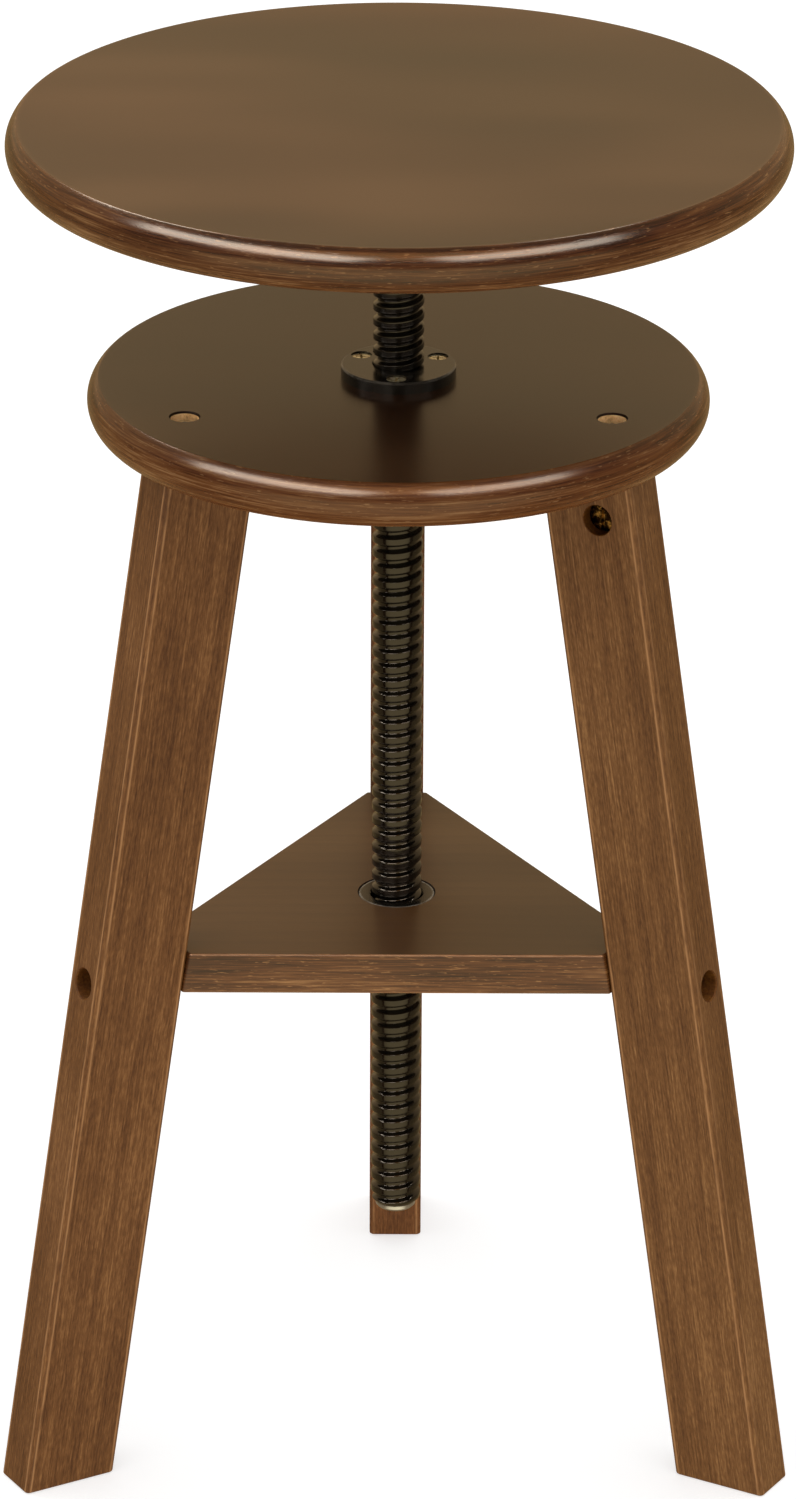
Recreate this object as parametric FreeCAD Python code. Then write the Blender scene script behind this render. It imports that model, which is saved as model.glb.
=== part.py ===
"""Adjustable swivel stool: a wooden seat on a lead screw, over a three-legged wooden stand.

Units are millimetres.  The origin is on the floor, on the screw's axis, +Z is up, and the
rear leg points along +Y.  The seat stands part way up its travel.
"""
import FreeCAD, Part
import math
import os

from FreeCAD import Vector

os.makedirs("parts", exist_ok=True)

UP = Vector(0, 0, 1)
AXIS_BASE = Vector(0, 0, 0)

# ---- driving dimensions ------------------------------------------------------------------
# wooden discs: the seat, and the platform that joins the tops of the legs
SEAT_RADIUS = 160.0
SEAT_TOP_Z = 575.2
PLATFORM_RADIUS = 127.9
PLATFORM_TOP_Z = 465.4
DISC_THICKNESS = 18.7
DISC_RIM_BULGE = 4.5          # how far the rounded rim stands proud of its two edges
FLOOR_TO_PLATFORM = PLATFORM_TOP_Z - DISC_THICKNESS

# legs: planks on edge, one every 120 degrees, leaning in towards the top
LEG_ANGLES = {"rear": 90.0, "left": 210.0, "right": 330.0}
LEG_THICKNESS = 22.9
LEG_OUTER_RADIUS_AT_FLOOR = 185.5
LEG_INNER_RADIUS_AT_FLOOR = 143.8
LEG_LEAN = 0.161              # inward run for each unit of height
LEG_EDGE_ROUNDING = 1.8

# shelf: a triangle with its corners cut off against the legs
SHELF_TOP_Z = 233.0
SHELF_THICKNESS = 17.8
SHELF_APOTHEM = 64.4
SHELF_EDGE_ROUNDING = 1.0
SHELF_MIDDLE_Z = SHELF_TOP_Z - SHELF_THICKNESS / 2

# lead screw: right-hand, single start, four turns to the inch
THREAD_PITCH = 6.35
SCREW_CREST_RADIUS = 10.5
SCREW_ROOT_RADIUS = 8.6
SCREW_ROOT_FLAT = 1.05        # axial width of the groove's floor
THREAD_FLANK = 1.0            # axial width of one sloping side of the groove
SCREW_TIP_Z = 86.7
SCREW_POINT_LENGTH = 2.5      # plain bevelled end below the thread
SCREW_POINT_BEVEL = 1.0
SCREW_POINT_STEP = 0.1        # how far the plain end is turned below the root
THREAD_PHASE_Z = 0.0          # height of a groove's middle on the +X side
THREAD_CLEARANCE = 0.35       # radial gap between the screw and the pieces around it
FLANK_CLEARANCE = 0.36        # axial gap between the screw's and the nut's flanks

# steel plate that carries the screw under the seat, and the washer below it
SEAT_PLATE_RADIUS = 44.0
SEAT_PLATE_THICKNESS = 4.0
SEAT_PLATE_SCREW_RADIUS = 33.0
SEAT_PLATE_SCREW_COUNT = 4
SCREW_NECK_RADIUS = 8.3
WASHER_BORE_RADIUS = 8.7
WASHER_OUTER_RADIUS = 17.0
WASHER_THICKNESS = 2.5
WASHER_GAP = 0.3

# threaded nut with a flange, let into the platform
NUT_FLANGE_RADIUS = 23.7
NUT_FLANGE_THICKNESS = 4.9
NUT_BODY_RADIUS = 14.0
NUT_BODY_LENGTH = 17.7
NUT_SCREW_CIRCLE = 18.2
NUT_SCREW_FIRST_ANGLE = 27.0
NUT_SCREW_COUNT = 3
NUT_SCREW_SINK = 0.7          # how far the screw heads lie below the flange

# plain guide bush in the shelf
BUSH_FLANGE_RADIUS = 16.0
BUSH_FLANGE_THICKNESS = 2.5
BUSH_BODY_RADIUS = 13.0
BUSH_RECESS = 0.3

# M6 bolts with cross dowels: one upright and one level in each leg
BOLT_RADIUS = 3.0
BOLT_HOLE_RADIUS = 3.4
BOLT_HEAD_RADIUS = 5.0
BOLT_HEAD_HEIGHT = 4.0
BOLT_SOCKET_WIDTH = 4.0       # across the flats of the hexagon
BOLT_SOCKET_DEPTH = 2.4
BOLT_HEAD_ROUNDING = 1.0
BOLT_END_BEVEL = 0.6
BOLT_END_GAP = 1.0            # empty length of hole beyond a bolt's end
LEG_BOLT_CIRCLE = 99.9
LEG_BOLT_LENGTH = 45.0
LEG_BOLT_COUNTERBORE_RADIUS = 5.9
LEG_BOLT_COUNTERBORE_DEPTH = 7.0
LEG_NUT_Z = 424.8
LEG_NUT_RADIUS = 6.2
LEG_NUT_LENGTH = 13.0
LEG_NUT_HOLE_RADIUS = 6.5
LEG_NUT_FLOOR_GAP = 0.3
SHELF_BOLT_LENGTH = 60.0
SHELF_BOLT_COUNTERBORE_RADIUS = 6.3
SHELF_BOLT_COUNTERBORE_DEPTH = 12.0
SHELF_NUT_CIRCLE = 87.0
SHELF_NUT_RADIUS = 5.0
SHELF_NUT_LENGTH = 11.0
SHELF_NUT_HOLE_TOP = 3.2      # wood left above the blind hole
NUT_SLOT_WIDTH = 1.6
NUT_SLOT_DEPTH = 1.2

# wooden dowels that stop the legs from turning under the platform
DOWEL_RADIUS = 4.0
DOWEL_CIRCLE = 84.0
DOWEL_LENGTH = 30.0
DOWEL_DEPTH_IN_PLATFORM = 12.0

# countersunk wood screws
WOOD_SCREW_RADIUS = 2.1
WOOD_SCREW_HEAD_RADIUS = 4.1
WOOD_SCREW_HEAD_LAND = 0.3    # height of the head's straight edge above its cone
WOOD_SCREW_POINT_LENGTH = 3.0
FLANGE_SCREW_LENGTH = 16.0
PLATE_SCREW_LENGTH = 14.0
CROSS_WIDTH = 0.9
CROSS_SPAN = 4.6
CROSS_DEPTH = 1.4
HEAD_SEAT_GAP = 0.15
PLATE_SCREW_SINK = 0.2        # how far the plate's screw heads lie above its underside

FIT_GAP = 0.1                 # radial gap of a fixed piece in its hole
CLOSE_FIT_GAP = 0.05          # radial gap of a pressed-in spigot or a bolt in its thread
HOLE_END_GAP = 0.5            # empty length of hole beyond a screw's or dowel's end
CUT_MARGIN = 2.0              # how far a cutting tool runs past the surface it opens
FEW_FACES = 60                # shapes simpler than this have their split faces joined up
ON_PLANE = 1e-3               # an edge this close to a plane lies in it


# ---- helpers -----------------------------------------------------------------------------
def write_node(name, shape):
    """Write one sub-part as a STEP file that carries its name."""
    solid = shape.removeSplitter() if len(shape.Faces) < FEW_FACES else shape
    solid.exportStep(os.path.join("parts", name + ".step"))


def cylinder(radius, low_z, high_z, x=0.0, y=0.0):
    """An upright cylinder between two heights."""
    return Part.makeCylinder(radius, high_z - low_z, Vector(x, y, low_z))


def turned(points):
    """A solid of revolution about the Z axis from (radius, height) points."""
    outline = [Vector(radius, 0, height) for radius, height in points]
    return Part.Face(Part.makePolygon(outline + outline[:1])).revolve(AXIS_BASE, UP, 360)


def rotated(shape, degrees):
    """A copy of a shape, turned about the screw's axis."""
    copy = shape.copy()
    copy.rotate(AXIS_BASE, UP, degrees)
    return copy


def on_circle(radius, degrees):
    """The X and Y of a point on a circle about the screw's axis."""
    angle = math.radians(degrees)
    return radius * math.cos(angle), radius * math.sin(angle)


def hexagon_prism(width, low_z, high_z):
    """An upright hexagonal prism, given its width across the flats."""
    corner = width / math.sqrt(3)
    ring = [Vector(*on_circle(corner, 60 * i), low_z) for i in range(6)]
    return Part.Face(Part.makePolygon(ring + ring[:1])).extrude(UP * (high_z - low_z))


# ---- wooden discs ------------------------------------------------------------------------
def wooden_disc(radius, top_z):
    """A flat disc whose rim is a shallow outward arc between two crisp edges."""
    bottom_z = top_z - DISC_THICKNESS
    flat_radius = radius - DISC_RIM_BULGE
    bottom_edge = Vector(flat_radius, 0, bottom_z)
    rim_middle = Vector(radius, 0, (top_z + bottom_z) / 2)
    top_edge = Vector(flat_radius, 0, top_z)
    rim = Part.Arc(bottom_edge, rim_middle, top_edge).toShape()
    to_axis = Part.makePolygon([top_edge, Vector(0, 0, top_z), Vector(0, 0, bottom_z), bottom_edge])
    section = Part.Face(Part.Wire([rim] + to_axis.Edges))
    return section.revolve(AXIS_BASE, UP, 360)


# ---- screw thread ------------------------------------------------------------------------
def helix_turn(radius, low_z):
    """One right-hand turn of a helix that starts on the +X side."""
    turn = Part.makeHelix(THREAD_PITCH, THREAD_PITCH, radius).Edges[0]
    turn.translate(Vector(0, 0, low_z))
    return turn


def threaded_rod(root_radius, crest_radius, root_flat, flank, low_z, high_z):
    """A rod with a single-start trapezoidal thread, cut off square at both heights."""
    outline = [
        (root_radius, -root_flat / 2),
        (root_radius, root_flat / 2),
        (crest_radius, root_flat / 2 + flank),
        (crest_radius, THREAD_PITCH - root_flat / 2 - flank),
        (root_radius, THREAD_PITCH - root_flat / 2),
    ]
    one_turn = []
    for (radius_a, z_a), (radius_b, z_b) in zip(outline, outline[1:]):
        one_turn.append(Part.makeRuledSurface(helix_turn(radius_a, z_a), helix_turn(radius_b, z_b)))
    first_turn = math.floor((low_z - THREAD_PHASE_Z) / THREAD_PITCH) - 2
    last_turn = math.ceil((high_z - THREAD_PHASE_Z) / THREAD_PITCH) + 1
    faces = []
    for turn in range(first_turn, last_turn + 1):
        for face in one_turn:
            lifted = face.copy()
            lifted.translate(Vector(0, 0, THREAD_PHASE_Z + turn * THREAD_PITCH))
            faces.append(lifted)
    skin = Part.makeShell(faces)
    skin.sewShape()
    reach = 2 * crest_radius
    slab = Part.makeBox(2 * reach, 2 * reach, high_z - low_z, Vector(-reach, -reach, low_z))
    skin = skin.common(slab)
    ends = []
    for z in (low_z, high_z):
        rim = [e for e in skin.Edges if abs(e.BoundBox.ZMin - z) + abs(e.BoundBox.ZMax - z) < ON_PLANE]
        ends.append(Part.Face(Part.Wire(Part.sortEdges(rim)[0])))
    closed = Part.makeShell(skin.Faces + ends)
    closed.sewShape()
    solid = Part.makeSolid(closed)
    if solid.Volume < 0:
        solid.reverse()
    return solid


def lead_screw(plate_bottom_z, plate_top_z):
    """The screw: bevelled point, thread, plain neck for the washer, spigot in the plate."""
    thread_low = SCREW_TIP_Z + SCREW_POINT_LENGTH
    thread_high = plate_bottom_z - WASHER_THICKNESS - 2 * WASHER_GAP
    thread = threaded_rod(
        SCREW_ROOT_RADIUS, SCREW_CREST_RADIUS, SCREW_ROOT_FLAT, THREAD_FLANK, thread_low, thread_high
    )
    point_radius = SCREW_ROOT_RADIUS - SCREW_POINT_STEP
    point = turned([
        (0, SCREW_TIP_Z),
        (point_radius - SCREW_POINT_BEVEL, SCREW_TIP_Z),
        (point_radius, SCREW_TIP_Z + SCREW_POINT_BEVEL),
        (point_radius, thread_low),
        (0, thread_low),
    ])
    neck = cylinder(SCREW_NECK_RADIUS, thread_high, plate_top_z)
    return thread.fuse([point, neck])


def nut_thread_tap(low_z, high_z):
    """The space that the nut's thread leaves round the screw."""
    slope = THREAD_FLANK / (SCREW_CREST_RADIUS - SCREW_ROOT_RADIUS)
    root_radius = SCREW_ROOT_RADIUS + THREAD_CLEARANCE
    crest_radius = SCREW_CREST_RADIUS + THREAD_CLEARANCE
    root_flat = SCREW_ROOT_FLAT + 2 * slope * THREAD_CLEARANCE - 2 * FLANK_CLEARANCE
    return threaded_rod(root_radius, crest_radius, root_flat, THREAD_FLANK, low_z, high_z)


# ---- fasteners ---------------------------------------------------------------------------
def head_depth():
    """Depth of a countersunk head with a 90-degree cone."""
    return WOOD_SCREW_HEAD_RADIUS - WOOD_SCREW_RADIUS


def wood_screw(length):
    """A countersunk wood screw along -Z, with the top of its head at the origin."""
    core = turned([
        (0, 0),
        (WOOD_SCREW_HEAD_RADIUS, 0),
        (WOOD_SCREW_HEAD_RADIUS, -WOOD_SCREW_HEAD_LAND),
        (WOOD_SCREW_RADIUS, -WOOD_SCREW_HEAD_LAND - head_depth()),
        (WOOD_SCREW_RADIUS, WOOD_SCREW_POINT_LENGTH - length),
        (0, -length),
    ])
    for span_x, span_y in ((CROSS_SPAN, CROSS_WIDTH), (CROSS_WIDTH, CROSS_SPAN)):
        corner = Vector(-span_x / 2, -span_y / 2, -CROSS_DEPTH)
        core = core.cut(Part.makeBox(span_x, span_y, CROSS_DEPTH + CUT_MARGIN, corner))
    return core


def wood_screw_hole(length):
    """The hole for a countersunk screw, clear of it all over, open upwards."""
    shank_radius = WOOD_SCREW_RADIUS + FIT_GAP
    head_radius = WOOD_SCREW_HEAD_RADIUS + HEAD_SEAT_GAP
    cone_top = -WOOD_SCREW_HEAD_LAND - HEAD_SEAT_GAP
    hole_end = -length - HOLE_END_GAP
    return turned([
        (0, CUT_MARGIN + NUT_SCREW_SINK),
        (head_radius, CUT_MARGIN + NUT_SCREW_SINK),
        (head_radius, cone_top),
        (shank_radius, cone_top - (head_radius - shank_radius)),
        (shank_radius, hole_end),
        (0, hole_end),
    ])


def socket_bolt(length):
    """A socket-head bolt along -Z, with the underside of its head at the origin."""
    bolt = turned([
        (0, BOLT_HEAD_HEIGHT),
        (BOLT_HEAD_RADIUS - BOLT_HEAD_ROUNDING, BOLT_HEAD_HEIGHT),
        (BOLT_HEAD_RADIUS, BOLT_HEAD_HEIGHT - BOLT_HEAD_ROUNDING),
        (BOLT_HEAD_RADIUS, 0),
        (BOLT_RADIUS, 0),
        (BOLT_RADIUS, BOLT_END_BEVEL - length),
        (BOLT_RADIUS - BOLT_END_BEVEL, -length),
        (0, -length),
    ])
    socket_floor = BOLT_HEAD_HEIGHT - BOLT_SOCKET_DEPTH
    return bolt.cut(hexagon_prism(BOLT_SOCKET_WIDTH, socket_floor, BOLT_HEAD_HEIGHT + CUT_MARGIN))


def barrel_nut(radius, length):
    """A cross dowel along Z with its middle at the origin, drilled along X, slotted on top."""
    barrel = cylinder(radius, -length / 2, length / 2)
    hole_radius = BOLT_RADIUS + CLOSE_FIT_GAP
    tapped_hole = Part.makeCylinder(hole_radius, 4 * radius, Vector(-2 * radius, 0, 0), Vector(1, 0, 0))
    slot_corner = Vector(-2 * radius, -NUT_SLOT_WIDTH / 2, length / 2 - NUT_SLOT_DEPTH)
    slot = Part.makeBox(4 * radius, NUT_SLOT_WIDTH, 2 * NUT_SLOT_DEPTH, slot_corner)
    return barrel.cut(tapped_hole).cut(slot)


# ---- pieces of one leg, built on the +X side and then turned into place ---------------------
def leg_outer_radius(z):
    return LEG_OUTER_RADIUS_AT_FLOOR - LEG_LEAN * z


def leg_inner_radius(z):
    return LEG_INNER_RADIUS_AT_FLOOR - LEG_LEAN * z


def leg_bolt_head_z():
    return PLATFORM_TOP_Z - LEG_BOLT_COUNTERBORE_DEPTH


def leg_nut_hole_depth():
    """Depth of the blind hole that brings the cross dowel's middle to the plank's middle."""
    return LEG_THICKNESS / 2 + LEG_NUT_LENGTH / 2 + LEG_NUT_FLOOR_GAP


def shelf_bolt_head_radius():
    return leg_outer_radius(SHELF_MIDDLE_Z) - SHELF_BOLT_COUNTERBORE_DEPTH


def leg_plank():
    """The plank itself, with its four long edges rounded."""
    half = LEG_THICKNESS / 2
    outline = [
        Vector(leg_inner_radius(0), -half, 0),
        Vector(leg_outer_radius(0), -half, 0),
        Vector(leg_outer_radius(FLOOR_TO_PLATFORM), -half, FLOOR_TO_PLATFORM),
        Vector(leg_inner_radius(FLOOR_TO_PLATFORM), -half, FLOOR_TO_PLATFORM),
    ]
    plank = Part.Face(Part.makePolygon(outline + outline[:1])).extrude(Vector(0, LEG_THICKNESS, 0))
    long_edges = [e for e in plank.Edges if e.Length > FLOOR_TO_PLATFORM]
    return plank.makeFillet(LEG_EDGE_ROUNDING, long_edges)


def leg():
    """One leg with its bolt, cross dowel and dowel holes."""
    half = LEG_THICKNESS / 2
    wood = leg_plank()
    above_leg = FLOOR_TO_PLATFORM + CUT_MARGIN
    bolt_hole_low = leg_bolt_head_z() - LEG_BOLT_LENGTH - BOLT_END_GAP
    wood = wood.cut(cylinder(BOLT_HOLE_RADIUS, bolt_hole_low, above_leg, LEG_BOLT_CIRCLE))
    dowel_low = FLOOR_TO_PLATFORM + DOWEL_DEPTH_IN_PLATFORM - DOWEL_LENGTH - HOLE_END_GAP
    wood = wood.cut(cylinder(DOWEL_RADIUS + FIT_GAP, dowel_low, above_leg, DOWEL_CIRCLE))
    nut_hole = Part.makeCylinder(
        LEG_NUT_HOLE_RADIUS,
        leg_nut_hole_depth() + CUT_MARGIN,
        Vector(LEG_BOLT_CIRCLE, -half - CUT_MARGIN, LEG_NUT_Z),
        Vector(0, 1, 0),
    )
    wood = wood.cut(nut_hole)
    along_x = Vector(1, 0, 0)
    hole_start = leg_inner_radius(SHELF_MIDDLE_Z) - CUT_MARGIN
    hole_length = shelf_bolt_head_radius() - hole_start + CUT_MARGIN
    hole_end = Vector(hole_start, 0, SHELF_MIDDLE_Z)
    wood = wood.cut(Part.makeCylinder(BOLT_HOLE_RADIUS, hole_length, hole_end, along_x))
    counterbore_floor = Vector(shelf_bolt_head_radius(), 0, SHELF_MIDDLE_Z)
    counterbore_length = SHELF_BOLT_COUNTERBORE_DEPTH + CUT_MARGIN
    return wood.cut(Part.makeCylinder(
        SHELF_BOLT_COUNTERBORE_RADIUS, counterbore_length, counterbore_floor, along_x
    ))


def leg_bolt():
    bolt = socket_bolt(LEG_BOLT_LENGTH)
    bolt.translate(Vector(LEG_BOLT_CIRCLE, 0, leg_bolt_head_z()))
    return bolt


def leg_barrel_nut():
    """The cross dowel in the leg: its slotted end faces out of the hole, the slot upright."""
    nut = barrel_nut(LEG_NUT_RADIUS, LEG_NUT_LENGTH)
    nut.rotate(AXIS_BASE, Vector(0, 1, 0), 90)
    nut.rotate(AXIS_BASE, UP, -90)
    nut.translate(Vector(LEG_BOLT_CIRCLE, 0, LEG_NUT_Z))
    return nut


def leg_dowel():
    low_z = FLOOR_TO_PLATFORM + DOWEL_DEPTH_IN_PLATFORM - DOWEL_LENGTH
    bevel = 0.8
    dowel = turned([
        (0, 0),
        (DOWEL_RADIUS - bevel, 0),
        (DOWEL_RADIUS, bevel),
        (DOWEL_RADIUS, DOWEL_LENGTH - bevel),
        (DOWEL_RADIUS - bevel, DOWEL_LENGTH),
        (0, DOWEL_LENGTH),
    ])
    dowel.translate(Vector(DOWEL_CIRCLE, 0, low_z))
    return dowel


def shelf_bolt():
    bolt = socket_bolt(SHELF_BOLT_LENGTH)
    bolt.rotate(AXIS_BASE, Vector(0, 1, 0), 90)
    bolt.translate(Vector(shelf_bolt_head_radius(), 0, SHELF_MIDDLE_Z))
    return bolt


def shelf_barrel_nut():
    """The cross dowel under the shelf: its slotted end faces down, the slot along the bolt."""
    nut = barrel_nut(SHELF_NUT_RADIUS, SHELF_NUT_LENGTH)
    nut.rotate(AXIS_BASE, Vector(1, 0, 0), 180)
    nut.translate(Vector(SHELF_NUT_CIRCLE, 0, SHELF_MIDDLE_Z))
    return nut


# ---- platform, shelf and their metal inserts ------------------------------------------------
def nut_screw_angles():
    return [NUT_SCREW_FIRST_ANGLE + 360 / NUT_SCREW_COUNT * i for i in range(NUT_SCREW_COUNT)]


def flange_screw_top_z():
    return PLATFORM_TOP_Z + NUT_FLANGE_THICKNESS - NUT_SCREW_SINK


def at_flange_screws(shape):
    """Copies of a shape at the nut's screws, from one built along Z at the origin."""
    placed = []
    for angle in nut_screw_angles():
        copy = shape.copy()
        copy.translate(Vector(*on_circle(NUT_SCREW_CIRCLE, angle), flange_screw_top_z()))
        placed.append(copy)
    return placed


def platform():
    """The lower disc, with the nut's hole, bolt counterbores, dowel and screw holes."""
    top_z = PLATFORM_TOP_Z
    wood = wooden_disc(PLATFORM_RADIUS, top_z)
    tools = [cylinder(NUT_BODY_RADIUS + FIT_GAP, FLOOR_TO_PLATFORM - CUT_MARGIN, top_z + CUT_MARGIN)]
    for angle in LEG_ANGLES.values():
        x, y = on_circle(LEG_BOLT_CIRCLE, angle)
        tools.append(cylinder(BOLT_HOLE_RADIUS, FLOOR_TO_PLATFORM - CUT_MARGIN, top_z, x, y))
        tools.append(cylinder(LEG_BOLT_COUNTERBORE_RADIUS, leg_bolt_head_z(), top_z + CUT_MARGIN, x, y))
        x, y = on_circle(DOWEL_CIRCLE, angle)
        dowel_top = FLOOR_TO_PLATFORM + DOWEL_DEPTH_IN_PLATFORM + HOLE_END_GAP
        tools.append(cylinder(DOWEL_RADIUS + FIT_GAP, FLOOR_TO_PLATFORM - CUT_MARGIN, dowel_top, x, y))
    tools += at_flange_screws(wood_screw_hole(FLANGE_SCREW_LENGTH))
    return wood.cut(tools)


def flange_nut():
    """The nut: a flange on the platform, a body through it, and an internal thread."""
    flange_top = PLATFORM_TOP_Z + NUT_FLANGE_THICKNESS
    bevel = 0.5
    body_bottom = PLATFORM_TOP_Z - NUT_BODY_LENGTH
    metal = turned([
        (0, body_bottom),
        (NUT_BODY_RADIUS - bevel, body_bottom),
        (NUT_BODY_RADIUS, body_bottom + bevel),
        (NUT_BODY_RADIUS, PLATFORM_TOP_Z),
        (NUT_FLANGE_RADIUS, PLATFORM_TOP_Z),
        (NUT_FLANGE_RADIUS, flange_top - bevel),
        (NUT_FLANGE_RADIUS - bevel, flange_top),
        (0, flange_top),
    ])
    metal = metal.cut(at_flange_screws(wood_screw_hole(FLANGE_SCREW_LENGTH)))
    return metal.cut(nut_thread_tap(body_bottom - CUT_MARGIN, flange_top + CUT_MARGIN))


def shelf_outline(reach):
    """The shelf's triangle with flat sides, as a prism, before its corners are cut."""
    bottom_z = SHELF_TOP_Z - SHELF_THICKNESS
    corners = [Vector(*on_circle(reach, angle), bottom_z) for angle in LEG_ANGLES.values()]
    return Part.Face(Part.makePolygon(corners + corners[:1])).extrude(UP * SHELF_THICKNESS)


def outside_leg_face():
    """All that lies beyond the inner face of the leg on the +X side."""
    wide = 60.0
    low_z = SHELF_TOP_Z - 2 * SHELF_THICKNESS
    high_z = SHELF_TOP_Z + SHELF_THICKNESS
    outline = [
        Vector(leg_inner_radius(low_z), -wide, low_z),
        Vector(leg_inner_radius(low_z) + 2 * wide, -wide, low_z),
        Vector(leg_inner_radius(low_z) + 2 * wide, -wide, high_z),
        Vector(leg_inner_radius(high_z), -wide, high_z),
    ]
    return Part.Face(Part.makePolygon(outline + outline[:1])).extrude(Vector(0, 2 * wide, 0))


def shelf():
    """The shelf board, with the bush's seat and the bolts' and cross dowels' holes."""
    bottom_z = SHELF_TOP_Z - SHELF_THICKNESS
    wood = shelf_outline(2 * SHELF_APOTHEM)
    for angle in LEG_ANGLES.values():
        wood = wood.cut(rotated(outside_leg_face(), angle))
    side_length = 100.0
    long_edges = [e for e in wood.Edges if e.Length > side_length]
    wood = wood.makeFillet(SHELF_EDGE_ROUNDING, long_edges)
    tools = [
        cylinder(BUSH_BODY_RADIUS + FIT_GAP, bottom_z - CUT_MARGIN, SHELF_TOP_Z),
        cylinder(
            BUSH_FLANGE_RADIUS + FIT_GAP,
            SHELF_TOP_Z - BUSH_FLANGE_THICKNESS - BUSH_RECESS,
            SHELF_TOP_Z + CUT_MARGIN,
        ),
    ]
    bolt_end = Vector(shelf_bolt_head_radius() - SHELF_BOLT_LENGTH - BOLT_END_GAP, 0, SHELF_MIDDLE_Z)
    bolt_hole = Part.makeCylinder(BOLT_HOLE_RADIUS, SHELF_BOLT_LENGTH, bolt_end, Vector(1, 0, 0))
    nut_hole_top = SHELF_TOP_Z - SHELF_NUT_HOLE_TOP
    nut_hole = cylinder(SHELF_NUT_RADIUS + FIT_GAP, bottom_z - CUT_MARGIN, nut_hole_top, SHELF_NUT_CIRCLE)
    for angle in LEG_ANGLES.values():
        tools += [rotated(bolt_hole, angle), rotated(nut_hole, angle)]
    return wood.cut(tools)


def guide_bush():
    """A plain flanged bush that steadies the screw in the shelf."""
    top_z = SHELF_TOP_Z - BUSH_RECESS
    bottom_z = SHELF_TOP_Z - SHELF_THICKNESS
    bore = SCREW_CREST_RADIUS + THREAD_CLEARANCE
    bevel = 0.6
    return turned([
        (bore + bevel, top_z),
        (BUSH_FLANGE_RADIUS - bevel / 2, top_z),
        (BUSH_FLANGE_RADIUS, top_z - bevel / 2),
        (BUSH_FLANGE_RADIUS, top_z - BUSH_FLANGE_THICKNESS),
        (BUSH_BODY_RADIUS, top_z - BUSH_FLANGE_THICKNESS),
        (BUSH_BODY_RADIUS, bottom_z),
        (bore + bevel, bottom_z),
        (bore, bottom_z + bevel),
        (bore, top_z - bevel),
    ])


# ---- seat and what is fixed to it -----------------------------------------------------------
def plate_screw_angles():
    step = 360 / SEAT_PLATE_SCREW_COUNT
    return [step / 2 + step * i for i in range(SEAT_PLATE_SCREW_COUNT)]


def at_plate_screws(shape, plate_bottom_z):
    """Copies of a shape at the plate's screws, turned over from one built along -Z."""
    head_z = plate_bottom_z + PLATE_SCREW_SINK
    placed = []
    for angle in plate_screw_angles():
        copy = shape.copy()
        copy.rotate(AXIS_BASE, Vector(1, 0, 0), 180)
        copy.translate(Vector(*on_circle(SEAT_PLATE_SCREW_RADIUS, angle), head_z))
        placed.append(copy)
    return placed


def seat_plate(plate_bottom_z, plate_top_z):
    """A round steel plate, bored for the screw's spigot and countersunk for four screws."""
    bevel = 0.6
    bore = SCREW_NECK_RADIUS + CLOSE_FIT_GAP
    plate = turned([
        (bore, plate_bottom_z),
        (SEAT_PLATE_RADIUS - bevel, plate_bottom_z),
        (SEAT_PLATE_RADIUS, plate_bottom_z + bevel),
        (SEAT_PLATE_RADIUS, plate_top_z),
        (bore, plate_top_z),
    ])
    return plate.cut(at_plate_screws(wood_screw_hole(PLATE_SCREW_LENGTH), plate_bottom_z))


def slip_washer(plate_bottom_z):
    """A loose washer on the screw's neck, which keeps the plate from jamming on the nut."""
    top_z = plate_bottom_z - WASHER_GAP
    low_z = top_z - WASHER_THICKNESS
    bevel = 0.4
    return turned([
        (WASHER_BORE_RADIUS, low_z),
        (WASHER_OUTER_RADIUS - bevel, low_z),
        (WASHER_OUTER_RADIUS, low_z + bevel),
        (WASHER_OUTER_RADIUS, top_z - bevel),
        (WASHER_OUTER_RADIUS - bevel, top_z),
        (WASHER_BORE_RADIUS, top_z),
    ])


# ---- the whole stool -------------------------------------------------------------------------
def build_seat_group():
    plate_top_z = SEAT_TOP_Z - DISC_THICKNESS
    plate_bottom_z = plate_top_z - SEAT_PLATE_THICKNESS
    seat = wooden_disc(SEAT_RADIUS, SEAT_TOP_Z)
    seat = seat.cut(at_plate_screws(wood_screw_hole(PLATE_SCREW_LENGTH), plate_bottom_z))
    write_node("seat", seat)
    write_node("seat_plate", seat_plate(plate_bottom_z, plate_top_z))
    write_node("lead_screw", lead_screw(plate_bottom_z, plate_top_z))
    write_node("slip_washer", slip_washer(plate_bottom_z))
    for number, screw in enumerate(at_plate_screws(wood_screw(PLATE_SCREW_LENGTH), plate_bottom_z), 1):
        write_node(f"seat_plate_screw_{number}", screw)


def build_stand():
    write_node("platform", platform())
    write_node("flange_nut", flange_nut())
    write_node("shelf", shelf())
    write_node("guide_bush", guide_bush())
    for number, screw in enumerate(at_flange_screws(wood_screw(FLANGE_SCREW_LENGTH)), 1):
        write_node(f"flange_screw_{number}", screw)
    pieces_of_a_leg = {
        "leg": leg(),
        "leg_bolt": leg_bolt(),
        "leg_barrel_nut": leg_barrel_nut(),
        "leg_dowel": leg_dowel(),
        "shelf_bolt": shelf_bolt(),
        "shelf_barrel_nut": shelf_barrel_nut(),
    }
    for side, angle in LEG_ANGLES.items():
        for name, shape in pieces_of_a_leg.items():
            write_node(f"{name}_{side}", rotated(shape, angle))


build_seat_group()
build_stand()
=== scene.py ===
"""Looks of the adjustable swivel stool: its wooden boards and screw rebuilt finely around the
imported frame, a finish for every piece, and a plain pale studio.  Units are metres.
"""

import math

import bmesh
import bpy
from mathutils import Matrix, Vector


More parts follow.
